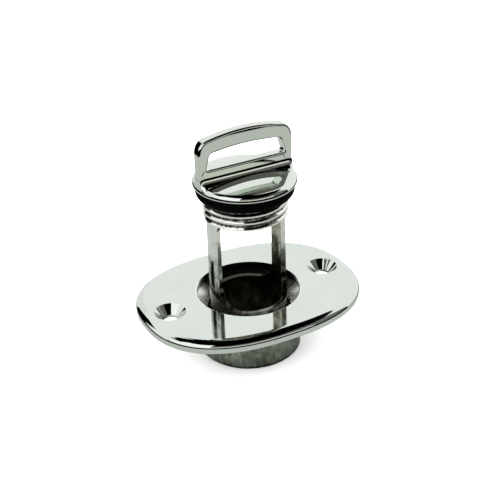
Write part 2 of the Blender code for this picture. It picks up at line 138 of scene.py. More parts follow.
# Grip tab with its finger slot
TAB_HALF_WIDTH = 16.0 * MM
TAB_HALF_THICK = 1.9 * MM
TAB_EDGE = 0.75 * MM
TAB_EDGE_STEPS = 7
TAB_FOOT_Z = 60.0 * MM
TAB_TOP_Z = 77.7 * MM
TAB_SHOULDER_Z = 76.4 * MM
TAB_SHOULDER_X = 12.2 * MM
TAB_SIDE_TOP_Z = 71.5 * MM
TAB_CORNER_DROP = 0.5 * MM
TAB_CORNER_STEPS = 16
TAB_ARCH_STEPS = 24
SLOT_FOOT_Z = 66.7 * MM
SLOT_FOOT_HALF = 13.4 * MM
SLOT_FOOT_ROUND = 0.9 * MM
SLOT_LEAN = 0.2 * MM
SLOT_SIDE_HALF = 12.4 * MM
SLOT_SIDE_TOP_Z = 70.4 * MM
SLOT_SHOULDER_X = 10.3 * MM
SLOT_SHOULDER_Z = 72.0 * MM
SLOT_TOP_Z = 72.7 * MM
FILLET_R = 3.0 * MM
FILLET_SINK = 0.06 * MM
FILLET_ROWS = 44
FILLET_STEPS = 16
FILLET_INSET = 0.012 * MM
FILLET_FOOT_Z = 59.8 * MM
FILLET_END_R = 16.09 * MM

# Tubular cage
CAGE_R = 12.7 * MM
CAGE_BORE_R = 11.0 * MM
CAGE_BORE_TOP_Z = 49.4 * MM
CAGE_EDGE = 0.16 * MM
CAGE_EDGE_STEPS = 5
CAGE_FOOT_CHAMFER = 0.3 * MM
TUBE_OVERLAP = 0.8 * MM
HEAD_BORE_R = 8.3 * MM
HEAD_BORE_FOOT_Z = 52.0 * MM
HEAD_BORE_TOP_Z = 56.4 * MM
HEAD_BORE_CHAMFER = 1.5 * MM
WINDOW_FOOT_Z = 18.85 * MM
WINDOW_TOP_Z = 48.4 * MM
WINDOW_FOOT_ROUND = 7.6 * MM
WINDOW_TOP_ROUND = 2.2 * MM
WINDOW_FOOT_STEPS = 18
WINDOW_TOP_STEPS = 8
WINDOW_MIDDLE_STEPS = 24
CUTTER_REACH = 1.5 * MM
LEG_HALF_ANGLE = math.radians(16.5)
RING_GROOVE_R = 11.55 * MM
RING_GROOVE_FOOT_Z = 1.4 * MM
RING_GROOVE_TOP_Z = 3.2 * MM

# O-ring
SEAL_R = 13.6 * MM
SEAL_SECTION_R = 1.9 * MM
SEAL_Z = 57.18 * MM
SEAL_SECTION_STEPS = 40
SEAL_FLASH = 0.05 * MM
SEAL_FLASH_SPREAD = 0.06

# Where one look of a piece gives way to the next
FACING_BACK = -0.9
BORE_MARGIN = 0.1 * MM

# Painted shade and dark reflections: low on the cage and in its bore, on the seat's far side, and at the
# barrel's foot
SHADED_BELOW_Z = 21.0 * MM
LIT_ABOVE_Z = 40.0 * MM
FAR_SHADE_FROM = 4.0 * MM
FAR_SHADE_FULL = 11.0 * MM
FAR_SHADE_TURN = 0.5
BARREL_SHADE_FULL_Z = 0.4 * MM
BARREL_SHADE_END_Z = 1.6 * MM

# The range that holds most of a noise texture's values
NOISE_LOW = 0.3
NOISE_HIGH = 0.7

# Colours, in linear light
FLANGE_STEEL = (0.735, 0.785, 0.735)
HEAD_STEEL = (0.745, 0.795, 0.735)
HAZE_SHARE = 0.95
WHITE = (1.0, 1.0, 1.0)
BLACK = (0.0, 0.0, 0.0)
WARM_WHITE = (1.0, 0.98, 0.93)
AMBER_WHITE = (1.0, 0.95, 0.86)
PAPER_WHITE = (0.97, 1.0, 0.96)
PAPER = (0.86, 0.86, 0.86)

# Camera
CAMERA_AZIMUTH = math.radians(27.108)
CAMERA_ELEVATION = math.radians(29.338)
CAMERA_ROLL = math.radians(1.904)
CAMERA_TARGET = Vector((0.85, -0.44, 34.87)) * MM
CAMERA_DISTANCE = 345.86 * MM
CAMERA_LENS = 77.87
CAMERA_SENSOR = 36.0
CAMERA_NEAR = 0.01
CAMERA_FAR = 20.0

# Studio
CARD_RADIUS = 1.2
CARD_CENTRE = Vector((0.0, 0.0, 0.035))
CARD_COLUMNS = 36
CARD_ROWS = 18
FLOOR_GLOW = 0.62
FLOOR_HALF = 2.5
FLOOR_DROP = 0.02 * MM
WORLD_STRENGTH = 3.0
SHADE_DROP = 0.01 * MM
SHADE_GLOW = 0.05
SHADE_INNER_R = 17.0 * MM
SHADE_OUTER_R = 42.0 * MM


# ---------------------------------------------------------------- mesh helpers

def new_collection(name):
    """A new collection in the scene."""
    group = bpy.data.collections.new(name)
    bpy.context.scene.collection.children.link(group)
    return group


pieces_group = new_collection("fitting_looks")
tools_group = new_collection("shape_tools")


def add_object(name, data, group):
    """A new object that shows a mesh, in a collection."""
    item = bpy.data.objects.new(name, data)
    group.objects.link(item)
    return item


def evaluated_mesh(item):
    """A new mesh of an object with its modifiers applied."""
    bpy.context.view_layer.update()
    graph = bpy.context.evaluated_depsgraph_get()
    return bpy.data.meshes.new_from_object(item.evaluated_get(graph))


def turned(name, profile, steps, closed=False):
    """Turn a half section, given as (radius, height) pairs, about the Z axis."""
    points = [(radius, 0.0, height) for radius, height in profile]
    edges = [(index, index + 1) for index in range(len(points) - 1)]
    if closed:
        edges.append((len(points) - 1, 0))
    mesh = bpy.data.meshes.new(name)
    mesh.from_pydata(points, edges, [])
    item = add_object(name, mesh, tools_group)
    screw = item.modifiers.new("turn", "SCREW")
    screw.axis = "Z"
    screw.angle = FULL_TURN
    screw.steps = steps
    screw.render_steps = steps
    screw.use_merge_vertices = True
    screw.merge_threshold = MERGE
    return item


def from_bmesh(name, work):
    """A new object of a finished shape, with its faces turned outwards."""
    bmesh.ops.recalc_face_normals(work, faces=work.faces)
    mesh = bpy.data.meshes.new(name)
    work.to_mesh(mesh)
    work.free()
    return add_object(name, mesh, tools_group)


def outline(name, splines, half_depth, edge_round=0.0):
    """A flat closed outline with any holes, thickened by half_depth each way, with rounded edges."""
    curve = bpy.data.curves.new(name, "CURVE")
    curve.dimensions = "2D"
    curve.fill_mode = "BOTH"
    curve.extrude = half_depth - edge_round
    if edge_round > 0.0:
        curve.bevel_depth = edge_round
        curve.bevel_resolution = TAB_EDGE_STEPS
        curve.offset = -edge_round
    for points in splines:
        spline = curve.splines.new("POLY")
        spline.points.add(len(points) - 1)
        for place, (across, up) in zip(spline.points, points):
            place.co = (across, up, 0.0, 1.0)
        spline.use_cyclic_u = True
    holder = add_object(name + "_outline", curve, tools_group)
    mesh = evaluated_mesh(holder)
    bpy.data.objects.remove(holder, do_unlink=True)
    work = bmesh.new()
    work.from_mesh(mesh)
    bmesh.ops.remove_doubles(work, verts=work.verts, dist=MERGE)
    return from_bmesh(name, work)


def combine(target, tool, operation):
    """Add an exact Boolean step to a piece."""
    step = target.modifiers.new(operation.lower(), "BOOLEAN")
    step.operation = operation
    step.solver = "EXACT"
    step.object = tool


def arc(centre_x, centre_z, radius, start, end, steps):
    """Points along an arc, both ends included."""
    points = []
    for index in range(steps + 1):
        angle = start + (end - start) * index / steps
        points.append((centre_x + radius * math.cos(angle), centre_z + radius * math.sin(angle)))
    return points


def corner(x_from, z_from, x_tip, z_tip, x_to, z_to, steps):
    """Points along a rounded corner that leaves towards its tip, leaving out its first end."""
    points = []
    for index in range(1, steps + 1):
        share = index / steps
        keep = (1.0 - share) ** 2
        pull = 2.0 * share * (1.0 - share)
        reach = share ** 2
        points.append((keep * x_from + pull * x_tip + reach * x_to,
                       keep * z_from + pull * z_tip + reach * z_to))
    return points


def arch(half_span, shoulder_z, top_z):
    """Points along a shallow arch from its shoulder to its middle, leaving out its first end."""
    points = []
    for index in range(1, TAB_ARCH_STEPS + 1):
        share = 1.0 - index / TAB_ARCH_STEPS
        points.append((half_span * share, top_z - (top_z - shoulder_z) * share ** 2))
    return points


def mirrored(right_half):
    """Close a half outline, given bottom to top at +X, with its mirror image at -X."""
    left_half = [(-across, up) for across, up in reversed(right_half) if across > MERGE]
    return right_half + left_half


def mouth(radius, height, size):
    """A rounded mouth edge of a turned cutter, from above the surface down to the wall."""
    start = QUARTER_TURN + SHORT_OF_TANGENT
    curve = arc(radius + size, height - size, size, start, math.pi, MOUTH_STEPS)
    first_x, first_z = curve[0]
    lift = CLEARANCE
    run = lift / math.tan(SHORT_OF_TANGENT)
    return [(first_x + run, first_z + lift)] + curve


def thread_rod(name, root_r, crest_r, foot_z, top_z):
    """A threaded rod with flat ends and softly rounded crests."""
    rise = 0.5 * (1.0 - CREST_FLAT - ROOT_FLAT)
    depth = crest_r - root_r
    profile = [(0.0, 0.0), (ROOT_FLAT, 0.0), (ROOT_FLAT + THREAD_SHOULDER * rise, THREAD_SHOULDER)]
    profile += [(ROOT_FLAT + rise, THREAD_EASE), (ROOT_FLAT + rise + 0.5 * CREST_FLAT, 1.0)]
    profile += [(ROOT_FLAT + rise + CREST_FLAT, THREAD_EASE)]
    profile += [(ROOT_FLAT + THREAD_FAR_SHOULDER * rise + CREST_FLAT, THREAD_SHOULDER), (1.0, 0.0)]
    turns = math.ceil((top_z - foot_z) / PITCH) + 2
    mesh = bpy.data.meshes.new(name)
    points = [(root_r + depth * share, 0.0, PITCH * along) for along, share in profile]
    mesh.from_pydata(points, [(index, index + 1) for index in range(len(points) - 1)], [])
    holder = add_object(name + "_sweep", mesh, tools_group)
    screw = holder.modifiers.new("thread", "SCREW")
    screw.axis = "Z"
    screw.angle = FULL_TURN
    screw.screw_offset = PITCH
    screw.iterations = turns
    screw.steps = TURN_STEPS
    screw.render_steps = TURN_STEPS
    swept = evaluated_mesh(holder)
    bpy.data.objects.remove(holder, do_unlink=True)
    work = bmesh.new()
    work.from_mesh(swept)
    bmesh.ops.translate(work, verts=work.verts, vec=(0.0, 0.0, foot_z - THREAD_LEAD_IN))
    bmesh.ops.remove_doubles(work, verts=work.verts, dist=MERGE)
    for height, normal in ((foot_z, (0.0, 0.0, -1.0)), (top_z, (0.0, 0.0, 1.0))):
        everything = work.verts[:] + work.edges[:] + work.faces[:]
        bmesh.ops.bisect_plane(work, geom=everything, dist=MERGE / 10.0, plane_co=(0.0, 0.0, height),
                               plane_no=normal, clear_outer=True)
    bmesh.ops.holes_fill(work, edges=[edge for edge in work.edges if edge.is_boundary])
    return from_bmesh(name, work)


def baked(source):
    """A plain mesh object of a piece with its modifiers applied and its tiny edges merged."""
    work = bmesh.new()
    work.from_mesh(evaluated_mesh(source))
    bmesh.ops.remove_doubles(work, verts=work.verts, dist=MERGE)
    bmesh.ops.dissolve_degenerate(work, dist=MERGE, edges=work.edges)
    return from_bmesh(source.name + "_baked", work)


def finish_piece(source, name, looks, region):
    """Bake a piece's modifiers, give each face its material by region, and smooth its normals."""
    mesh = evaluated_mesh(source)
    mesh.name = name
    mesh.materials.clear()
    for look in looks:
        mesh.materials.append(look)
    for face in mesh.polygons:
        radius = math.hypot(face.center.x, face.center.y)
        face.material_index = region(radius, face.center.z, face.normal)
    piece = add_object(name, mesh, pieces_group)
    mesh.shade_smooth()
    mesh.set_sharp_from_angle(angle=SHARP_ABOVE)
    weighted = piece.modifiers.new("weighted_normals", "WEIGHTED_NORMAL")
    weighted.keep_sharp = True
    weighted.weight = NORMAL_WEIGHT
    return piece


# ---------------------------------------------------------------- housing

def flange_plate():
    """The oval plate with its rounded front edge and its eased back edge."""
    points = []
    for index in range(FLANGE_POINTS):
        angle = FULL_TURN * index / FLANGE_POINTS
        cosine = math.cos(angle)
        sine = math.sin(angle)
        across = FLANGE_HALF_LENGTH * math.copysign(abs(cosine) ** (2.0 / FLANGE_POWER), cosine)
        up = FLANGE_HALF_WIDTH * math.copysign(abs(sine) ** (2.0 / FLANGE_POWER), sine)
        points.append((across, up))
    plate = outline("flange_plate", [points], FLANGE_THICK / 2.0)
    work = bmesh.new()
    work.from_mesh(plate.data)
    bmesh.ops.translate(work, verts=work.verts, vec=(0.0, 0.0, FLANGE_TOP_Z - FLANGE_THICK / 2.0))
    bmesh.ops.dissolve_limit(work, angle_limit=COPLANAR_WITHIN, verts=work.verts, edges=work.edges)
    edge_rounds = ((FLANGE_TOP_Z, TOP_EDGE_REACH, TOP_EDGE_STEPS),
                   (FLANGE_BACK_Z, BACK_EDGE_ROUND, BACK_EDGE_STEPS))
    for height, size, steps in edge_rounds:
        rim = [edge for edge in work.edges if all(abs(end.co.z - height) < MERGE for end in edge.verts)]
        bmesh.ops.bevel(work, geom=rim, offset=size, offset_type="OFFSET", segments=steps,
                        profile=0.5, affect="EDGES")
    for vert in work.verts:
        below = FLANGE_TOP_Z - vert.co.z
        if below < TOP_EDGE_REACH + MERGE:
            vert.co.z = FLANGE_TOP_Z - below * TOP_EDGE_DROP / TOP_EDGE_REACH
    work.to_mesh(plate.data)
    work.free()
    return plate


def screw_hole(side):
    """The cutter for one countersunk hole, at +X or at -X."""
    slope = (COUNTERSINK_R - SCREW_HOLE_R) / COUNTERSINK_DEPTH
    below = FLANGE_BACK_Z - CLEARANCE
    above = FLANGE_TOP_Z + CLEARANCE
    profile = [(0.0, above), (COUNTERSINK_R + slope * CLEARANCE, above)]
    profile += [(SCREW_HOLE_R, FLANGE_TOP_Z - COUNTERSINK_DEPTH)]
    profile += [(SCREW_HOLE_R, below), (0.0, below)]
    hole = turned("screw_hole", profile, SCREW_STEPS)
    hole.location.x = side * SCREW_X
    return hole


def build_housing(looks):
    """The flange and barrel with their holes, recess, seat, bore and internal thread."""
    plate = flange_plate()
    shell = [(0.0, FLANGE_TOP_Z - BARREL_OVERLAP), (BARREL_R, FLANGE_TOP_Z - BARREL_OVERLAP)]
    shell += [(BARREL_R, BARREL_CHAMFER), (BARREL_R - BARREL_CHAMFER, 0.0), (0.0, 0.0)]
    barrel = turned("barrel_core", shell, TURN_STEPS)
    combine(plate, barrel, "UNION")
    for side in (-1.0, 1.0):
        combine(plate, screw_hole(side), "DIFFERENCE")
    top = mouth(RECESS_R, FLANGE_TOP_Z, RECESS_EDGE)
    profile = [(0.0, top[0][1])] + top + [(RECESS_R, SEAT_TOP_Z)]
    profile += [(BORE_LAND_R, SEAT_FOOT_Z), (BORE_LAND_R, RELIEF_TOP_Z)]
    profile += [(RELIEF_R, RELIEF_TOP_Z - RELIEF_SLOPE), (RELIEF_R, STOP_Z)]
    profile += [(COUNTERBORE_R, STOP_Z), (COUNTERBORE_R, COUNTERBORE_EDGE)]
    profile += [(COUNTERBORE_R + COUNTERBORE_EDGE + CLEARANCE, -CLEARANCE), (0.0, -CLEARANCE)]
    combine(plate, turned("bore_cutter", profile, TURN_STEPS), "DIFFERENCE")
    nut = thread_rod("nut_thread_cutter", NUT_CREST_R, NUT_ROOT_R, NUT_FOOT_Z, NUT_TOP_Z)
    combine(plate, nut, "DIFFERENCE")

    polished, recess, seat_cone, unpolished = range(len(looks))

    def region(radius, height, normal):
        if radius < RECESS_R + 2.0 * RECESS_EDGE and height > SEAT_FOOT_Z - MM and radius > BORE_LAND_R:
            return recess if height > SEAT_TOP_Z else seat_cone
        if height < FLANGE_BACK_Z + BACK_EDGE_ROUND and radius < BARREL_R + MERGE:
            return unpolished
        if height < SEAT_TOP_Z and radius < BARREL_R - MM:
            return unpolished
        if normal.z < FACING_BACK:
            return unpolished
        return polished

    return finish_piece(plate, "housing_casting", looks, region)


# ---------------------------------------------------------------- plug

def window_columns(half_arc):
    """Places round the cage, as arc lengths from the window's middle, where its outline has points."""
    columns = []
    for index in range(WINDOW_FOOT_STEPS + 1):
        turn = QUARTER_TURN * index / WINDOW_FOOT_STEPS
        columns.append(-half_arc + WINDOW_FOOT_ROUND * (1.0 - math.cos(turn)))
    for index in range(1, WINDOW_TOP_STEPS + 1):
        turn = QUARTER_TURN * index / WINDOW_TOP_STEPS
        columns.append(-half_arc + WINDOW_TOP_ROUND * (1.0 - math.cos(turn)))
    columns.sort()
    first = columns[-1]
    middle = []
    for index in range(1, WINDOW_MIDDLE_STEPS):
        middle.append(first * (1.0 - 2.0 * index / WINDOW_MIDDLE_STEPS))
    return columns + middle + [-place for place in reversed(columns)]


def window_layers():
    """Radius and outward growth of a window cutter, layer by layer, for rounded edges in and out."""
    layers = []
    turn_end = QUARTER_TURN - SHORT_OF_TANGENT
    for index in range(CAGE_EDGE_STEPS + 1):
        turn = turn_end * (1.0 - index / CAGE_EDGE_STEPS)
        growth = CAGE_EDGE * (1.0 - math.cos(turn))
        layers.append((CAGE_BORE_R + CAGE_EDGE * (1.0 - math.sin(turn)), growth))
    layers += [(CAGE_R + CAGE_BORE_R - radius, growth) for radius, growth in reversed(layers)]
    end_r, end_growth = layers[-1]
    slope = math.tan(turn_end)
    reach = 2.0 * CAGE_EDGE
    layers.append((end_r + reach, end_growth + slope * reach))
    layers.insert(0, (CAGE_R + CAGE_BORE_R - layers[-1][0], layers[-1][1]))
    layers.append((CAGE_R + CUTTER_REACH, layers[-1][1]))
    layers.insert(0, (CAGE_BORE_R - CUTTER_REACH, layers[-1][1]))
    return layers


def window_cutter(name, middle_angle):
    """A radial cutter for one cage window: small upper corners, wide lower ones, eased edges."""
    half_arc = CAGE_R * (QUARTER_TURN - LEG_HALF_ANGLE)
    columns = window_columns(half_arc)
    work = bmesh.new()
    sheets = []
    for radius, growth in window_layers():
        half = half_arc + growth
        foot_round = WINDOW_FOOT_ROUND + growth
        top_round = WINDOW_TOP_ROUND + growth
        low_row = []
        high_row = []
        for place in columns:
            arc_place = place * half / half_arc
            from_leg = half - abs(arc_place)
            inset = max(0.0, foot_round - from_leg)
            low = WINDOW_FOOT_Z - growth + foot_round - math.sqrt(max(0.0, foot_round ** 2 - inset ** 2))
            inset = max(0.0, top_round - from_leg)
            high = WINDOW_TOP_Z + growth - top_round + math.sqrt(max(0.0, top_round ** 2 - inset ** 2))
            angle = middle_angle + arc_place / CAGE_R
            across = radius * math.cos(angle)
            deep = radius * math.sin(angle)
            low_row.append(work.verts.new((across, deep, low)))
            high_row.append(work.verts.new((across, deep, high)))
        sheets.append((low_row, high_row))
    last = len(columns) - 1
    for near, far in zip(sheets, sheets[1:]):
        for side in (0, 1):
            for index in range(last):
                work.faces.new((near[side][index], near[side][index + 1],
                                far[side][index + 1], far[side][index]))
        for index in (0, last):
            work.faces.new((near[0][index], near[1][index], far[1][index], far[0][index]))
    for low_row, high_row in (sheets[0], sheets[-1]):
        for index in range(last):
            work.faces.new((low_row[index], low_row[index + 1], high_row[index + 1], high_row[index]))
    return from_bmesh(name, work)


def rim_height(radius):
    """Height of a flat head with this head's rounded rim, at a distance from the axis."""
    past = min(max(0.0, radius - HEAD_R + HEAD_ROUND), HEAD_ROUND)
    return RIM_Z - HEAD_ROUND + math.sqrt(HEAD_ROUND ** 2 - past ** 2)


def head_top():
    """Points over the head: a shallow dome from the axis that runs smoothly into its rounded rim."""
    rim = arc(HEAD_R - HEAD_ROUND, RIM_Z - HEAD_ROUND, HEAD_ROUND, QUARTER_TURN - DOME_SLOPE, 0.0,
              HEAD_ROUND_STEPS)
    edge_r, edge_z = rim[0]
    dome_r = edge_r / math.sin(DOME_SLOPE)
    middle_z = edge_z - dome_r * math.cos(DOME_SLOPE)
    dome = arc(0.0, middle_z, dome_r, QUARTER_TURN, QUARTER_TURN - DOME_SLOPE, DOME_STEPS)
    dome[0] = (0.0, middle_z + dome_r)
    return dome + rim[1:]


def fillet_bar():
    """The concave fillets that carry the tab down to the head and fall away with its rounded rim."""
    middle = TAB_HALF_THICK - FILLET_INSET + FILLET_R
    section = arc(middle, FILLET_R, FILLET_R, math.pi * 1.5, math.pi, FILLET_STEPS)
    section.append((TAB_HALF_THICK / 2.0, section[-1][1]))
    section += [(-across, lift) for across, lift in reversed(section)]
    rows = []
    for index in range(-FILLET_ROWS, FILLET_ROWS + 1):
        rows.append(HEAD_R * math.sin(QUARTER_TURN * index / FILLET_ROWS))
    work = bmesh.new()
    grid = bmesh.ops.create_grid(work, x_segments=len(rows) - 1, y_segments=len(section) - 1, size=0.5)
    for vert in grid["verts"]:
        along = rows[round((vert.co.x + 0.5) * (len(rows) - 1))]
        across, lift = section[round((vert.co.y + 0.5) * (len(section) - 1))]
        height = rim_height(math.hypot(along, across)) - FILLET_SINK + lift
        vert.co = Vector((along, across, height))
    grown = bmesh.ops.extrude_face_region(work, geom=work.faces[:], use_keep_orig=True)
    for vert in grown["geom"]:
        if isinstance(vert, bmesh.types.BMVert):
            vert.co.z = FILLET_FOOT_Z - CLEARANCE
    return from_bmesh("tab_fillet_core", work)


def grip_tab():
    """The upright tab with an arched top, a finger slot with a straight foot, and rounded edges."""
    edge = [(TAB_HALF_WIDTH, TAB_FOOT_Z), (TAB_HALF_WIDTH, TAB_SIDE_TOP_Z)]
    edge += corner(TAB_HALF_WIDTH, TAB_SIDE_TOP_Z, TAB_HALF_WIDTH, TAB_SHOULDER_Z - TAB_CORNER_DROP,
                   TAB_SHOULDER_X, TAB_SHOULDER_Z, TAB_CORNER_STEPS)
    edge += arch(TAB_SHOULDER_X, TAB_SHOULDER_Z, TAB_TOP_Z)
    foot_x = SLOT_FOOT_HALF - SLOT_FOOT_ROUND
    side_x = SLOT_FOOT_HALF - SLOT_LEAN
    side_z = SLOT_FOOT_Z + SLOT_FOOT_ROUND
    slot = [(foot_x, SLOT_FOOT_Z)]
    slot += corner(foot_x, SLOT_FOOT_Z, SLOT_FOOT_HALF, SLOT_FOOT_Z, side_x, side_z, TAB_CORNER_STEPS // 2)
    slot.append((SLOT_SIDE_HALF, SLOT_SIDE_TOP_Z))
    slot += corner(SLOT_SIDE_HALF, SLOT_SIDE_TOP_Z, SLOT_SIDE_HALF - SLOT_LEAN, SLOT_SHOULDER_Z,
                   SLOT_SHOULDER_X, SLOT_SHOULDER_Z, TAB_CORNER_STEPS)
    slot += arch(SLOT_SHOULDER_X, SLOT_SHOULDER_Z, SLOT_TOP_Z)
    tab = outline("tab_core", [mirrored(edge), mirrored(slot)], TAB_HALF_THICK, TAB_EDGE)
    for vert in tab.data.vertices:
        vert.co = Vector((vert.co.x, -vert.co.z, vert.co.y))
    return tab


def plug_head():
    """The round head, a shallow dome with a rounded rim, and the grip tab on its fillets."""
    neck = [(HEAD_R, HEAD_FOOT_Z + HEAD_FOOT_EDGE), (HEAD_R - HEAD_FOOT_EDGE, HEAD_FOOT_Z)]
    neck += [(GROOVE_R, HEAD_FOOT_Z), (GROOVE_R, NECK_TOP_Z - JOIN_DEPTH), (0.0, NECK_TOP_Z - JOIN_DEPTH)]
    head = turned("plug_head", head_top() + neck, TURN_STEPS)
    bar = fillet_bar()
    trim_top = RIM_Z + FILLET_R + CLEARANCE
    trim = [(0.0, trim_top), (FILLET_END_R, trim_top), (FILLET_END_R, FILLET_FOOT_Z), (0.0, FILLET_FOOT_Z)]
    combine(bar, turned("tab_fillet_trim", trim, TURN_STEPS), "INTERSECT")
    combine(head, bar, "UNION")
    combine(head, grip_tab(), "UNION")
    return baked(head)


def plug_cage():
    """The threaded neck and the tube below it, with its bore and its two windows."""
    tube_top = NECK_FOOT_Z + TUBE_OVERLAP
    tube = [(0.0, tube_top), (CAGE_R, tube_top), (CAGE_R, RING_GROOVE_TOP_Z)]
    tube += [(RING_GROOVE_R, RING_GROOVE_TOP_Z), (RING_GROOVE_R, RING_GROOVE_FOOT_Z)]
    tube += [(CAGE_R, RING_GROOVE_FOOT_Z), (CAGE_R, CAGE_FOOT_CHAMFER)]
    tube += [(CAGE_R - CAGE_FOOT_CHAMFER, 0.0), (0.0, 0.0)]
    cage = turned("cage_core", tube, TURN_STEPS)
    combine(cage, window_cutter("window_cutter_front", -QUARTER_TURN), "DIFFERENCE")
    combine(cage, window_cutter("window_cutter_rear", QUARTER_TURN), "DIFFERENCE")
    thread = thread_rod("neck_thread", NECK_ROOT_R, NECK_CREST_R, NECK_FOOT_Z, NECK_TOP_Z)
    combine(cage, thread, "UNION")
    return baked(cage)


def build_plug(looks):
    """The head and the cage in one piece, bored from below."""
    plug = plug_head()
    combine(plug, plug_cage(), "UNION")
    bore = [(0.0, HEAD_BORE_TOP_Z), (HEAD_BORE_R - HEAD_BORE_CHAMFER, HEAD_BORE_TOP_Z)]
    bore += [(HEAD_BORE_R, HEAD_BORE_TOP_Z - HEAD_BORE_CHAMFER), (HEAD_BORE_R, HEAD_BORE_FOOT_Z)]
    bore += [(CAGE_BORE_R, CAGE_BORE_TOP_Z), (CAGE_BORE_R, -CLEARANCE), (0.0, -CLEARANCE)]
    combine(plug, turned("cage_bore_cutter", bore, TURN_STEPS), "DIFFERENCE")

    head, cage, neck, inside = range(len(looks))

    def region(radius, height, _normal):
        if height > HEAD_FOOT_Z - MERGE:
            return head
        if radius < CAGE_BORE_R + BORE_MARGIN:
            return inside
        if height > NECK_FOOT_Z - MERGE:
            return neck
        return cage

    return finish_piece(plug, "plug_casting", looks, region)


# ---------------------------------------------------------------- O-ring

def build_seal(look):
    """The O-ring, with the fine flash line of its mould at its outer and inner edges."""
    points = []
    for index in range(SEAL_SECTION_STEPS):
        angle = QUARTER_TURN - FULL_TURN * index / SEAL_SECTION_STEPS
        swell = SEAL_FLASH * math.exp(-(math.sin(angle) / SEAL_FLASH_SPREAD) ** 2)
        reach = SEAL_SECTION_R + swell
        points.append((SEAL_R + reach * math.cos(angle), SEAL_Z + reach * math.sin(angle)))
    ring = turned("seal_core", points, TURN_STEPS, closed=True)
    return finish_piece(ring, "seal_ring", [look], lambda *_place: 0)


# ---------------------------------------------------------------- materials

class Look:
    """A Principled material with short ways to add procedural detail."""

    def __init__(self, name, colour, roughness, metallic):
        self.material = bpy.data.materials.new(name)
        self.material.use_nodes = True
        self.nodes = self.material.node_tree.nodes
        self.links = self.material.node_tree.links
        self.shader = self.nodes["Principled BSDF"]
        self.shader.inputs["Base Color"].default_value = (*colour, 1.0)
        self.shader.inputs["Roughness"].default_value = roughness
        self.shader.inputs["Metallic"].default_value = metallic
        self.place = self.nodes.new("ShaderNodeTexCoord").outputs["Object"]
        self.normal = None

    def noise(self, scale, detail=3.0, stretch=(1.0, 1.0, 1.0), distortion=0.0, roughness=0.5):
        """Noise in the object's own coordinates, with features of about 1 / scale metres."""
        mapping = self.nodes.new("ShaderNodeMapping")
        mapping.inputs["Scale"].default_value = stretch
        self.links.new(self.place, mapping.inputs["Vector"])
        texture = self.nodes.new("ShaderNodeTexNoise")
        texture.inputs["Scale"].default_value = scale
        texture.inputs["Detail"].default_value = detail
        texture.inputs["Roughness"].default_value = roughness
        texture.inputs["Distortion"].default_value = distortion
        self.links.new(mapping.outputs["Vector"], texture.inputs["Vector"])
        return texture.outputs["Fac"]

    def spread(self, source, low, high, to_low, to_high):
        """Map a range of a value to another, and clamp it."""
        node = self.nodes.new("ShaderNodeMapRange")
        node.inputs["From Min"].default_value = low
        node.inputs["From Max"].default_value = high
        node.inputs["To Min"].default_value = to_low
        node.inputs["To Max"].default_value = to_high
        self.links.new(source, node.inputs["Value"])
        return node.outputs["Result"]

    def combine(self, first, second, operation):
        """Join two values by a maths operation."""
        node = self.nodes.new("ShaderNodeMath")
        node.operation = operation
        self.links.new(first, node.inputs[0])
        self.links.new(second, node.inputs[1])
        return node.outputs["Value"]

    def paint(self, stops, source):
        """Colour the surface by a ramp of (place, colour) stops."""
        ramp = self.nodes.new("ShaderNodeValToRGB")
        elements = ramp.color_ramp.elements
        elements[0].position = stops[0][0]
        elements[0].color = (*stops[0][1], 1.0)
        elements[1].position = stops[-1][0]
        elements[1].color = (*stops[-1][1], 1.0)
        for position, colour in stops[1:-1]:
            element = elements.new(position)
            element.color = (*colour, 1.0)
        self.links.new(source, ramp.inputs["Fac"])
        self.links.new(ramp.outputs["Color"], self.shader.inputs["Base Color"])

    def gloss(self, level):
        """Set Principled's specular level, which leaves the reflection as it is at 0.5."""
        self.shader.inputs["Specular IOR Level"].default_value = level

    def roughen(self, source):
        """Drive the roughness by a value."""
        self.links.new(source, self.shader.inputs["Roughness"])

    def bump(self, source, strength, depth):
        """Add one more layer of relief, depth metres deep."""
        node = self.nodes.new("ShaderNodeBump")
        node.inputs["Strength"].default_value = strength
        node.inputs["Distance"].default_value = depth
        self.links.new(source, node.inputs["Height"])
        if self.normal is not None:
            self.links.new(self.normal, node.inputs["Normal"])
        self.normal = node.outputs["Normal"]
        self.links.new(self.normal, self.shader.inputs["Normal"])

    def along(self, axis):
        """The place along one of the object's own axes, in metres."""
        split = self.nodes.new("ShaderNodeSeparateXYZ")
        self.links.new(self.place, split.inputs["Vector"])
        return split.outputs[axis]

    def radius(self):
        """The distance from the bore's axis, in metres."""
        flat = self.nodes.new("ShaderNodeMapping")
        flat.inputs["Scale"].default_value = (1.0, 1.0, 0.0)
        self.links.new(self.place, flat.inputs["Vector"])
        measure = self.nodes.new("ShaderNodeVectorMath")
        measure.operation = "LENGTH"
        self.links.new(flat.outputs["Vector"], measure.inputs[0])
        return measure.outputs["Value"]


def polished_look(name, colour):
    """Mirror-polished stainless with faint haze, buffing lines and a slight cast waviness."""
    look = Look(name, colour, roughness=0.05, metallic=1.0)
    haze = look.noise(90.0, detail=4.0)
    dark = tuple(HAZE_SHARE * part for part in colour)
    look.paint([(NOISE_LOW, dark), (NOISE_HIGH, colour)], haze)
    buff = look.noise(900.0, detail=2.0, stretch=(0.12, 1.0, 1.0), distortion=0.3)
    haze_rough = look.spread(haze, 0.35, 0.7, 0.035, 0.075)
    buff_rough = look.spread(buff, 0.55, 0.8, 0.0, 0.05)
    look.roughen(look.combine(haze_rough, buff_rough, "ADD"))
    look.bump(look.noise(130.0, detail=1.0), strength=0.05, depth=0.02 * MM)
    look.bump(buff, strength=0.02, depth=0.004 * MM)
    return look.material


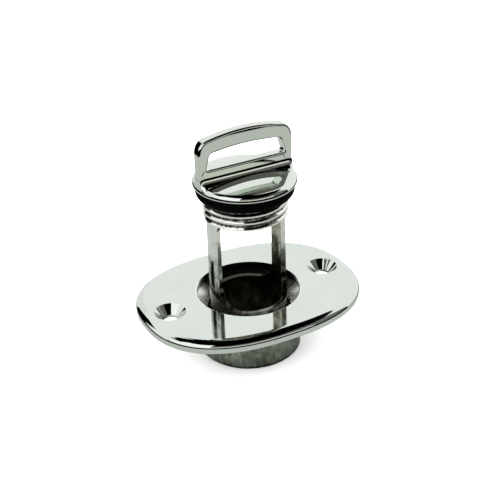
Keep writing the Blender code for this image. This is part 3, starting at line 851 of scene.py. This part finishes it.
def seat_look():
    """The machined seat and recess wall: fine turning marks, with a painted dark reflection on the far
    side.
    """
    look = Look("machined_seat", (0.52, 0.54, 0.51), roughness=0.1, metallic=0.75)
    rings = look.noise(5200.0, detail=1.0, stretch=(0.02, 0.02, 1.0))
    # Painted dark reflection: the seat and recess wall darken on their far side, away from the viewer.
    reach = 2.0 * BARREL_R
    across = look.spread(look.along("X"), -reach, reach, -FAR_SHADE_TURN * reach, FAR_SHADE_TURN * reach)
    far = look.combine(look.along("Y"), across, "ADD")
    far_shade = look.spread(far, FAR_SHADE_FROM, FAR_SHADE_FULL, 0.0, 1.0)
    look.gloss(0.05)
    smear = look.spread(look.noise(240.0, detail=4.0, distortion=0.5), NOISE_LOW, NOISE_HIGH, 0.0, 0.15)
    look.paint([(0.0, (0.92, 0.94, 0.9)), (0.5, (0.12, 0.132, 0.112)), (0.9, (0.004, 0.004, 0.003))],
               look.combine(far_shade, smear, "ADD"))
    look.roughen(look.spread(look.noise(300.0, detail=3.0), NOISE_LOW, NOISE_HIGH, 0.16, 0.28))
    look.bump(rings, strength=0.04, depth=0.01 * MM)
    return look.material


def satin_look():
    """The cage: satin metal with fine grain, faint mottling and a painted dark reflection that darkens it
    towards its foot.
    """
    look = Look("satin_cage", (0.8, 0.82, 0.78), roughness=0.16, metallic=1.0)
    mottle = look.noise(220.0, detail=5.0, distortion=0.4, roughness=0.6)
    # Painted dark reflection: the cage darkens towards its foot, where its legs reflect the dark flange.
    height_shade = look.spread(look.along("Z"), SHADED_BELOW_Z, LIT_ABOVE_Z, -0.46, 0.04)
    look.paint([(0.05, (0.03, 0.03, 0.025)), (0.28, (0.3, 0.31, 0.28)), (0.5, (0.78, 0.80, 0.75)),
                (0.72, (0.92, 0.94, 0.90))], look.combine(mottle, height_shade, "ADD"))
    grain = look.noise(1500.0, detail=4.0, stretch=(1.0, 1.0, 0.35))
    look.roughen(look.spread(grain, NOISE_LOW, NOISE_HIGH, 0.07, 0.17))
    look.bump(grain, strength=0.08, depth=0.015 * MM)
    look.bump(look.noise(260.0, detail=2.0), strength=0.15, depth=0.03 * MM)
    return look.material


def thread_look():
    """The cut neck thread: bright crests, roots painted black as shade, and torn flanks."""
    look = Look("neck_thread_metal", (0.8, 0.81, 0.76), roughness=0.15, metallic=1.0)
    # Painted shade: black in the thread's roots, rising to bright on its crests.
    depth = look.spread(look.radius(), NECK_ROOT_R, NECK_CREST_R, 0.1, 1.4)
    speckle = look.spread(look.noise(800.0, detail=4.0, roughness=0.6), 0.38, 0.62, -0.22, 0.22)
    level = look.combine(depth, speckle, "ADD")
    look.paint([(0.0, (0.02, 0.02, 0.016)), (0.3, (0.22, 0.225, 0.2)), (0.6, (0.72, 0.73, 0.68)),
                (1.0, (0.92, 0.93, 0.88))], level)
    look.roughen(look.spread(look.noise(900.0, detail=3.0), NOISE_LOW, NOISE_HIGH, 0.06, 0.18))
    look.bump(look.noise(1300.0, detail=3.0), strength=0.12, depth=0.04 * MM)
    look.bump(look.noise(380.0, detail=2.0), strength=0.22, depth=0.08 * MM)
    return look.material


def dull_look():
    """The barrel: dull cast metal with drawn-down streaks, a rough grain and painted contact shade at its
    foot.
    """
    look = Look("dull_barrel", (0.30, 0.325, 0.28), roughness=0.5, metallic=1.0)
    streak = look.noise(1100.0, detail=4.0, stretch=(1.0, 1.0, 0.3), roughness=0.65)
    patch = look.noise(140.0, detail=4.0, distortion=0.5)
    # Painted contact shade: the barrel darkens below 1.6 mm, most of all below 0.4 mm, where it stands on
    # the floor.
    foot_shade = look.spread(look.along("Z"), BARREL_SHADE_FULL_Z, BARREL_SHADE_END_Z, -0.3, 0.0)
    both = look.combine(look.combine(streak, patch, "MULTIPLY"), foot_shade, "ADD")
    look.paint([(0.0, (0.03, 0.035, 0.03)), (0.12, (0.2, 0.225, 0.18)), (0.24, (0.46, 0.51, 0.42)),
                (0.4, (0.85, 0.9, 0.8))], both)
    look.roughen(look.spread(look.noise(700.0, detail=4.0), NOISE_LOW, NOISE_HIGH, 0.36, 0.62))
    look.bump(look.noise(2400.0, detail=4.0, roughness=0.6), strength=0.5, depth=0.05 * MM)
    look.bump(streak, strength=0.35, depth=0.06 * MM)
    return look.material


def bore_look():
    """The inside of the cage: a rough cast bore, brown-black low down and brighter on the legs, darkened
    low down by painted shade.
    """
    look = Look("cast_bore", (0.3, 0.3, 0.25), roughness=0.4, metallic=1.0)
    blotch = look.noise(180.0, detail=5.0, distortion=0.7, roughness=0.65)
    # Painted shade: the bore is darker low down, deep inside the barrel.
    height_shade = look.spread(look.along("Z"), SHADED_BELOW_Z, LIT_ABOVE_Z, 0.0, 0.3)
    look.paint([(0.4, (0.03, 0.03, 0.02)), (0.58, (0.14, 0.137, 0.09)), (0.75, (0.42, 0.415, 0.32)),
                (0.95, (0.8, 0.81, 0.75))], look.combine(blotch, height_shade, "ADD"))
    look.roughen(look.spread(look.noise(900.0, detail=3.0), NOISE_LOW, NOISE_HIGH, 0.2, 0.4))
    look.bump(look.noise(1100.0, detail=5.0, roughness=0.6), strength=0.35, depth=0.08 * MM)
    return look.material


def rubber_look():
    """Black nitrile rubber with a fine matt grain and a little dust."""
    look = Look("black_nitrile", (0.003, 0.003, 0.003), roughness=0.5, metallic=0.0)
    look.gloss(0.03)
    dust = look.noise(1800.0, detail=5.0, roughness=0.7)
    look.paint([(0.5, (0.0004, 0.0004, 0.0004)), (0.72, (0.001, 0.001, 0.001)),
                (0.84, (0.008, 0.008, 0.007))], dust)
    look.roughen(look.spread(look.noise(420.0, detail=3.0), NOISE_LOW, NOISE_HIGH, 0.45, 0.65))
    look.bump(look.noise(2600.0, detail=4.0), strength=0.35, depth=0.03 * MM)
    return look.material


def spring_look():
    """Bright spring stainless for the snap ring, with drawn lines round its edge."""
    look = Look("spring_stainless_wire", (0.45, 0.46, 0.45), roughness=0.3, metallic=1.0)
    lines = look.noise(2600.0, detail=3.0, stretch=(0.2, 0.2, 1.0))
    look.paint([(NOISE_LOW, (0.34, 0.345, 0.34)), (NOISE_HIGH, (0.5, 0.51, 0.5))],
               look.noise(400.0, detail=4.0))
    look.roughen(look.spread(lines, NOISE_LOW, NOISE_HIGH, 0.2, 0.38))
    look.bump(lines, strength=0.25, depth=0.02 * MM)
    return look.material


# ---------------------------------------------------------------- studio and camera

def camera_axes():
    """The direction that the camera looks in, and the level direction to its right."""
    forward = Vector((math.cos(CAMERA_ELEVATION) * math.sin(CAMERA_AZIMUTH),
                      math.cos(CAMERA_ELEVATION) * math.cos(CAMERA_AZIMUTH),
                      -math.sin(CAMERA_ELEVATION)))
    level = Vector((math.cos(CAMERA_AZIMUTH), -math.sin(CAMERA_AZIMUTH), 0.0))
    return forward, level


def place_camera():
    """The photograph's own view: the camera's place, its turn and its lens."""
    forward, level = camera_axes()
    down = forward.cross(level)
    right = math.cos(CAMERA_ROLL) * level + math.sin(CAMERA_ROLL) * down
    up = math.sin(CAMERA_ROLL) * level - math.cos(CAMERA_ROLL) * down
    turn = Matrix((right, up, -forward)).transposed().to_4x4()
    data = bpy.data.cameras.new("view_camera")
    data.lens = CAMERA_LENS
    data.sensor_width = CAMERA_SENSOR
    data.clip_start = CAMERA_NEAR
    data.clip_end = CAMERA_FAR
    camera = bpy.data.objects.new("view_camera", data)
    bpy.context.scene.collection.objects.link(camera)
    camera.matrix_world = Matrix.Translation(CAMERA_TARGET - CAMERA_DISTANCE * forward) @ turn
    bpy.context.scene.camera = camera


def direction(bearing, rise):
    """A direction by its bearing, 0 towards the viewer and 90 to the viewer's right, and its rise."""
    forward, level = camera_axes()
    front = Vector((-forward.x, -forward.y, 0.0)).normalized()
    turn = math.radians(bearing)
    tilt = math.radians(rise)
    flat = math.cos(turn) * front + math.sin(turn) * level
    return math.cos(tilt) * flat + math.sin(tilt) * Vector((0.0, 0.0, 1.0))


def for_reflections_only(item):
    """Hide an item from everything but the reflections in the metal."""
    item.visible_camera = False
    item.visible_diffuse = False
    item.visible_shadow = False
    item.visible_transmission = False


def studio_card(name, bearings, rises, strength, colour=WHITE):
    """A curved card that only reflections see, between two bearings and two rises in degrees."""
    work = bmesh.new()
    grid = []
    for row in range(CARD_ROWS + 1):
        rise = rises[0] + (rises[1] - rises[0]) * row / CARD_ROWS
        line = []
        for column in range(CARD_COLUMNS + 1):
            bearing = bearings[0] + (bearings[1] - bearings[0]) * column / CARD_COLUMNS
            line.append(work.verts.new(CARD_CENTRE + CARD_RADIUS * direction(bearing, rise)))
        grid.append(line)
    for lower, upper in zip(grid, grid[1:]):
        for index in range(CARD_COLUMNS):
            work.faces.new((lower[index], lower[index + 1], upper[index + 1], upper[index]))
    mesh = bpy.data.meshes.new(name)
    work.to_mesh(mesh)
    work.free()
    card = add_object(name, mesh, stage_group)
    made = bpy.data.materials.new(name)
    made.use_nodes = True
    nodes = made.node_tree.nodes
    nodes.clear()
    glow = nodes.new("ShaderNodeEmission")
    glow.inputs["Color"].default_value = (*colour, 1.0)
    glow.inputs["Strength"].default_value = strength
    output = nodes.new("ShaderNodeOutputMaterial")
    made.node_tree.links.new(glow.outputs["Emission"], output.inputs["Surface"])
    mesh.materials.append(made)
    for_reflections_only(card)


def build_floor():
    """Pale paper under the fitting, which takes its shadow but isn't seen in its reflections."""
    mesh = bpy.data.meshes.new("studio_floor")
    half = FLOOR_HALF
    mesh.from_pydata([(-half, -half, 0.0), (half, -half, 0.0), (half, half, 0.0), (-half, half, 0.0)], [],
                     [(0, 1, 2, 3)])
    floor = add_object("studio_floor", mesh, stage_group)
    floor.location.z = -FLOOR_DROP
    look = Look("pale_paper", PAPER, roughness=0.9, metallic=0.0)
    look.paint([(NOISE_LOW, (0.855, 0.86, 0.86)), (NOISE_HIGH, (0.865, 0.865, 0.86))],
               look.noise(60.0, detail=4.0))
    look.bump(look.noise(900.0, detail=3.0), strength=0.05, depth=0.05 * MM)
    look.gloss(0.1)
    mesh.materials.append(look.material)
    floor.visible_glossy = False


def build_shaded_floor():
    """The paper near the fitting as reflections see it: dark under the barrel, pale further out."""
    disc = turned("floor_shade", [(0.0, 0.0), (SHADE_OUTER_R, 0.0)], TURN_STEPS // 2)
    mesh = evaluated_mesh(disc)
    shade = add_object("floor_shade_disc", mesh, stage_group)
    shade.location.z = -SHADE_DROP
    look = Look("floor_shade", BLACK, roughness=1.0, metallic=0.0)
    look.gloss(0.0)
    look.shader.inputs["Emission Color"].default_value = (*PAPER_WHITE, 1.0)
    glow = look.spread(look.radius(), SHADE_INNER_R, SHADE_OUTER_R, SHADE_GLOW, FLOOR_GLOW)
    look.links.new(glow, look.shader.inputs["Emission Strength"])
    mesh.materials.append(look.material)
    for_reflections_only(shade)


def build_world():
    """An even white surround, which lights the scene but isn't seen in reflections."""
    world = bpy.data.worlds.new("studio_world")
    bpy.context.scene.world = world
    world.use_nodes = True
    background = world.node_tree.nodes["Background"]
    background.inputs["Color"].default_value = (*WHITE, 1.0)
    background.inputs["Strength"].default_value = WORLD_STRENGTH
    world.cycles_visibility.glossy = False


def build_studio():
    """The cards: a backdrop behind, paper all round below, softboxes at the left and in front."""
    studio_card("backdrop", bearings=(100.0, 198.0), rises=(-10.0, 50.0), strength=1.0)
    studio_card("floor_bounce", bearings=(-180.0, 180.0), rises=(-89.0, -20.0), strength=FLOOR_GLOW,
                colour=PAPER_WHITE)
    studio_card("rear_left_strip", bearings=(198.0, 250.0), rises=(35.0, 58.0), strength=1.0)
    studio_card("left_softbox", bearings=(-75.0, -12.0), rises=(12.0, 65.0), strength=1.2)
    studio_card("left_spill", bearings=(-114.0, -75.0), rises=(4.0, 52.0), strength=1.0)
    studio_card("front_softbox", bearings=(-12.0, 64.0), rises=(12.0, 26.5), strength=0.85,
                colour=WARM_WHITE)
    studio_card("front_spill", bearings=(-12.0, 64.0), rises=(26.5, 45.0), strength=0.14,
                colour=AMBER_WHITE)
    studio_card("right_spill", bearings=(64.0, 100.0), rises=(8.0, 50.0), strength=0.16)
    studio_card("rear_left_spill", bearings=(198.0, 224.0), rises=(-10.0, 35.0), strength=0.9)


stage_group = new_collection("studio")
bpy.context.scene.view_settings.view_transform = "Standard"

polished_flange = polished_look("polished_flange", FLANGE_STEEL)
polished_head = polished_look("polished_head", HEAD_STEEL)
seat = seat_look()
dull = dull_look()
bore = bore_look()

housing = build_housing([polished_flange, seat, seat, dull])
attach(housing, "housing")
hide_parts("flange_housing")

plug = build_plug([polished_head, satin_look(), thread_look(), bore])
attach(plug, "plug")
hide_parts("plug_body")

seal = build_seal(rubber_look())
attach(seal, "plug")
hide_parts("o_ring")

snap_ring = frame["nodes"]["retaining_ring"]
for material_slot in snap_ring.material_slots:
    material_slot.material = spring_look()

build_floor()
build_shaded_floor()
build_world()
build_studio()
place_camera()

for tool in list(tools_group.objects):
    bpy.data.objects.remove(tool, do_unlink=True)
bpy.data.collections.remove(tools_group)
